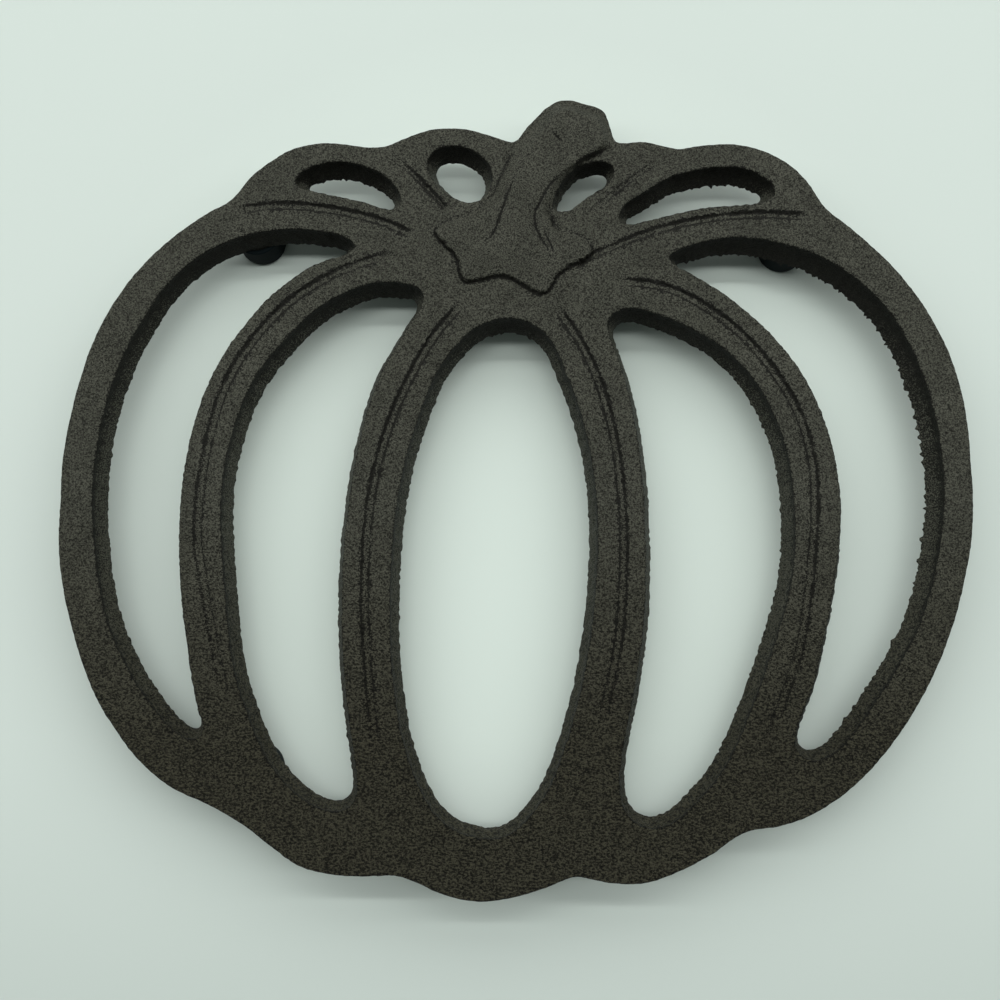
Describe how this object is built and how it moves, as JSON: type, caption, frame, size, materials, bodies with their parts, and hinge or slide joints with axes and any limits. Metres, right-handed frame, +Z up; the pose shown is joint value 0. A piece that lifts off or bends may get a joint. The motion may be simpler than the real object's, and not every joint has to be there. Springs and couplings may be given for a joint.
{
  "type": "trivet",
  "caption": "Flat cast-iron trivet in the outline of a pumpkin with a raised stem and curved openings, standing on rubber-capped pegs.",
  "frame": {"origin": "on the table under the middle of the plate's width and depth", "axes": "+Z up, +Y towards the stem, +X to the right seen from above"},
  "size_m": [0.2132, 0.1892, 0.0155],
  "materials": {
    "iron": "oiled, sand-cast grain",
    "cap_rubber": "matt moulded rubber"
  },
  "bodies": {
    "root": {"iron_casting": "iron", "foot_cap_rear_left": "cap_rubber", "foot_cap_rear_right": "cap_rubber", "foot_cap_front_left": "cap_rubber", "foot_cap_front_right": "cap_rubber"}
  },
  "joints": []
}
